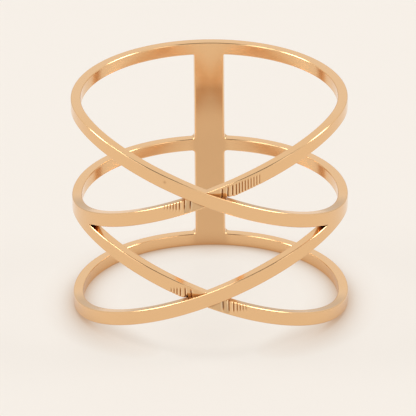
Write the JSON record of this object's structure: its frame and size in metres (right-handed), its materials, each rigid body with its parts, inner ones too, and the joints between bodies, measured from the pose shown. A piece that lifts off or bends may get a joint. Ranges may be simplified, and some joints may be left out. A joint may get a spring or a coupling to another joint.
{
  "type": "multi-band ring",
  "caption": "Open finger ring of rose gold: slim polished bands joined by an upright bar at the back, with strands that cross twice over the front and fluted cuts beside each crossing.",
  "frame": {"origin": "on the finger's axis, in the plane of the bottom rim that the ring stands on", "axes": "+Z along the finger's axis, up through the ring as it stands; +Y towards the bar at the back; the crossings face -Y"},
  "size_m": [0.0186, 0.0186, 0.0153],
  "materials": {
    "gold": "polished"
  },
  "bodies": {
    "root": {"ring": "gold"}
  },
  "joints": []
}
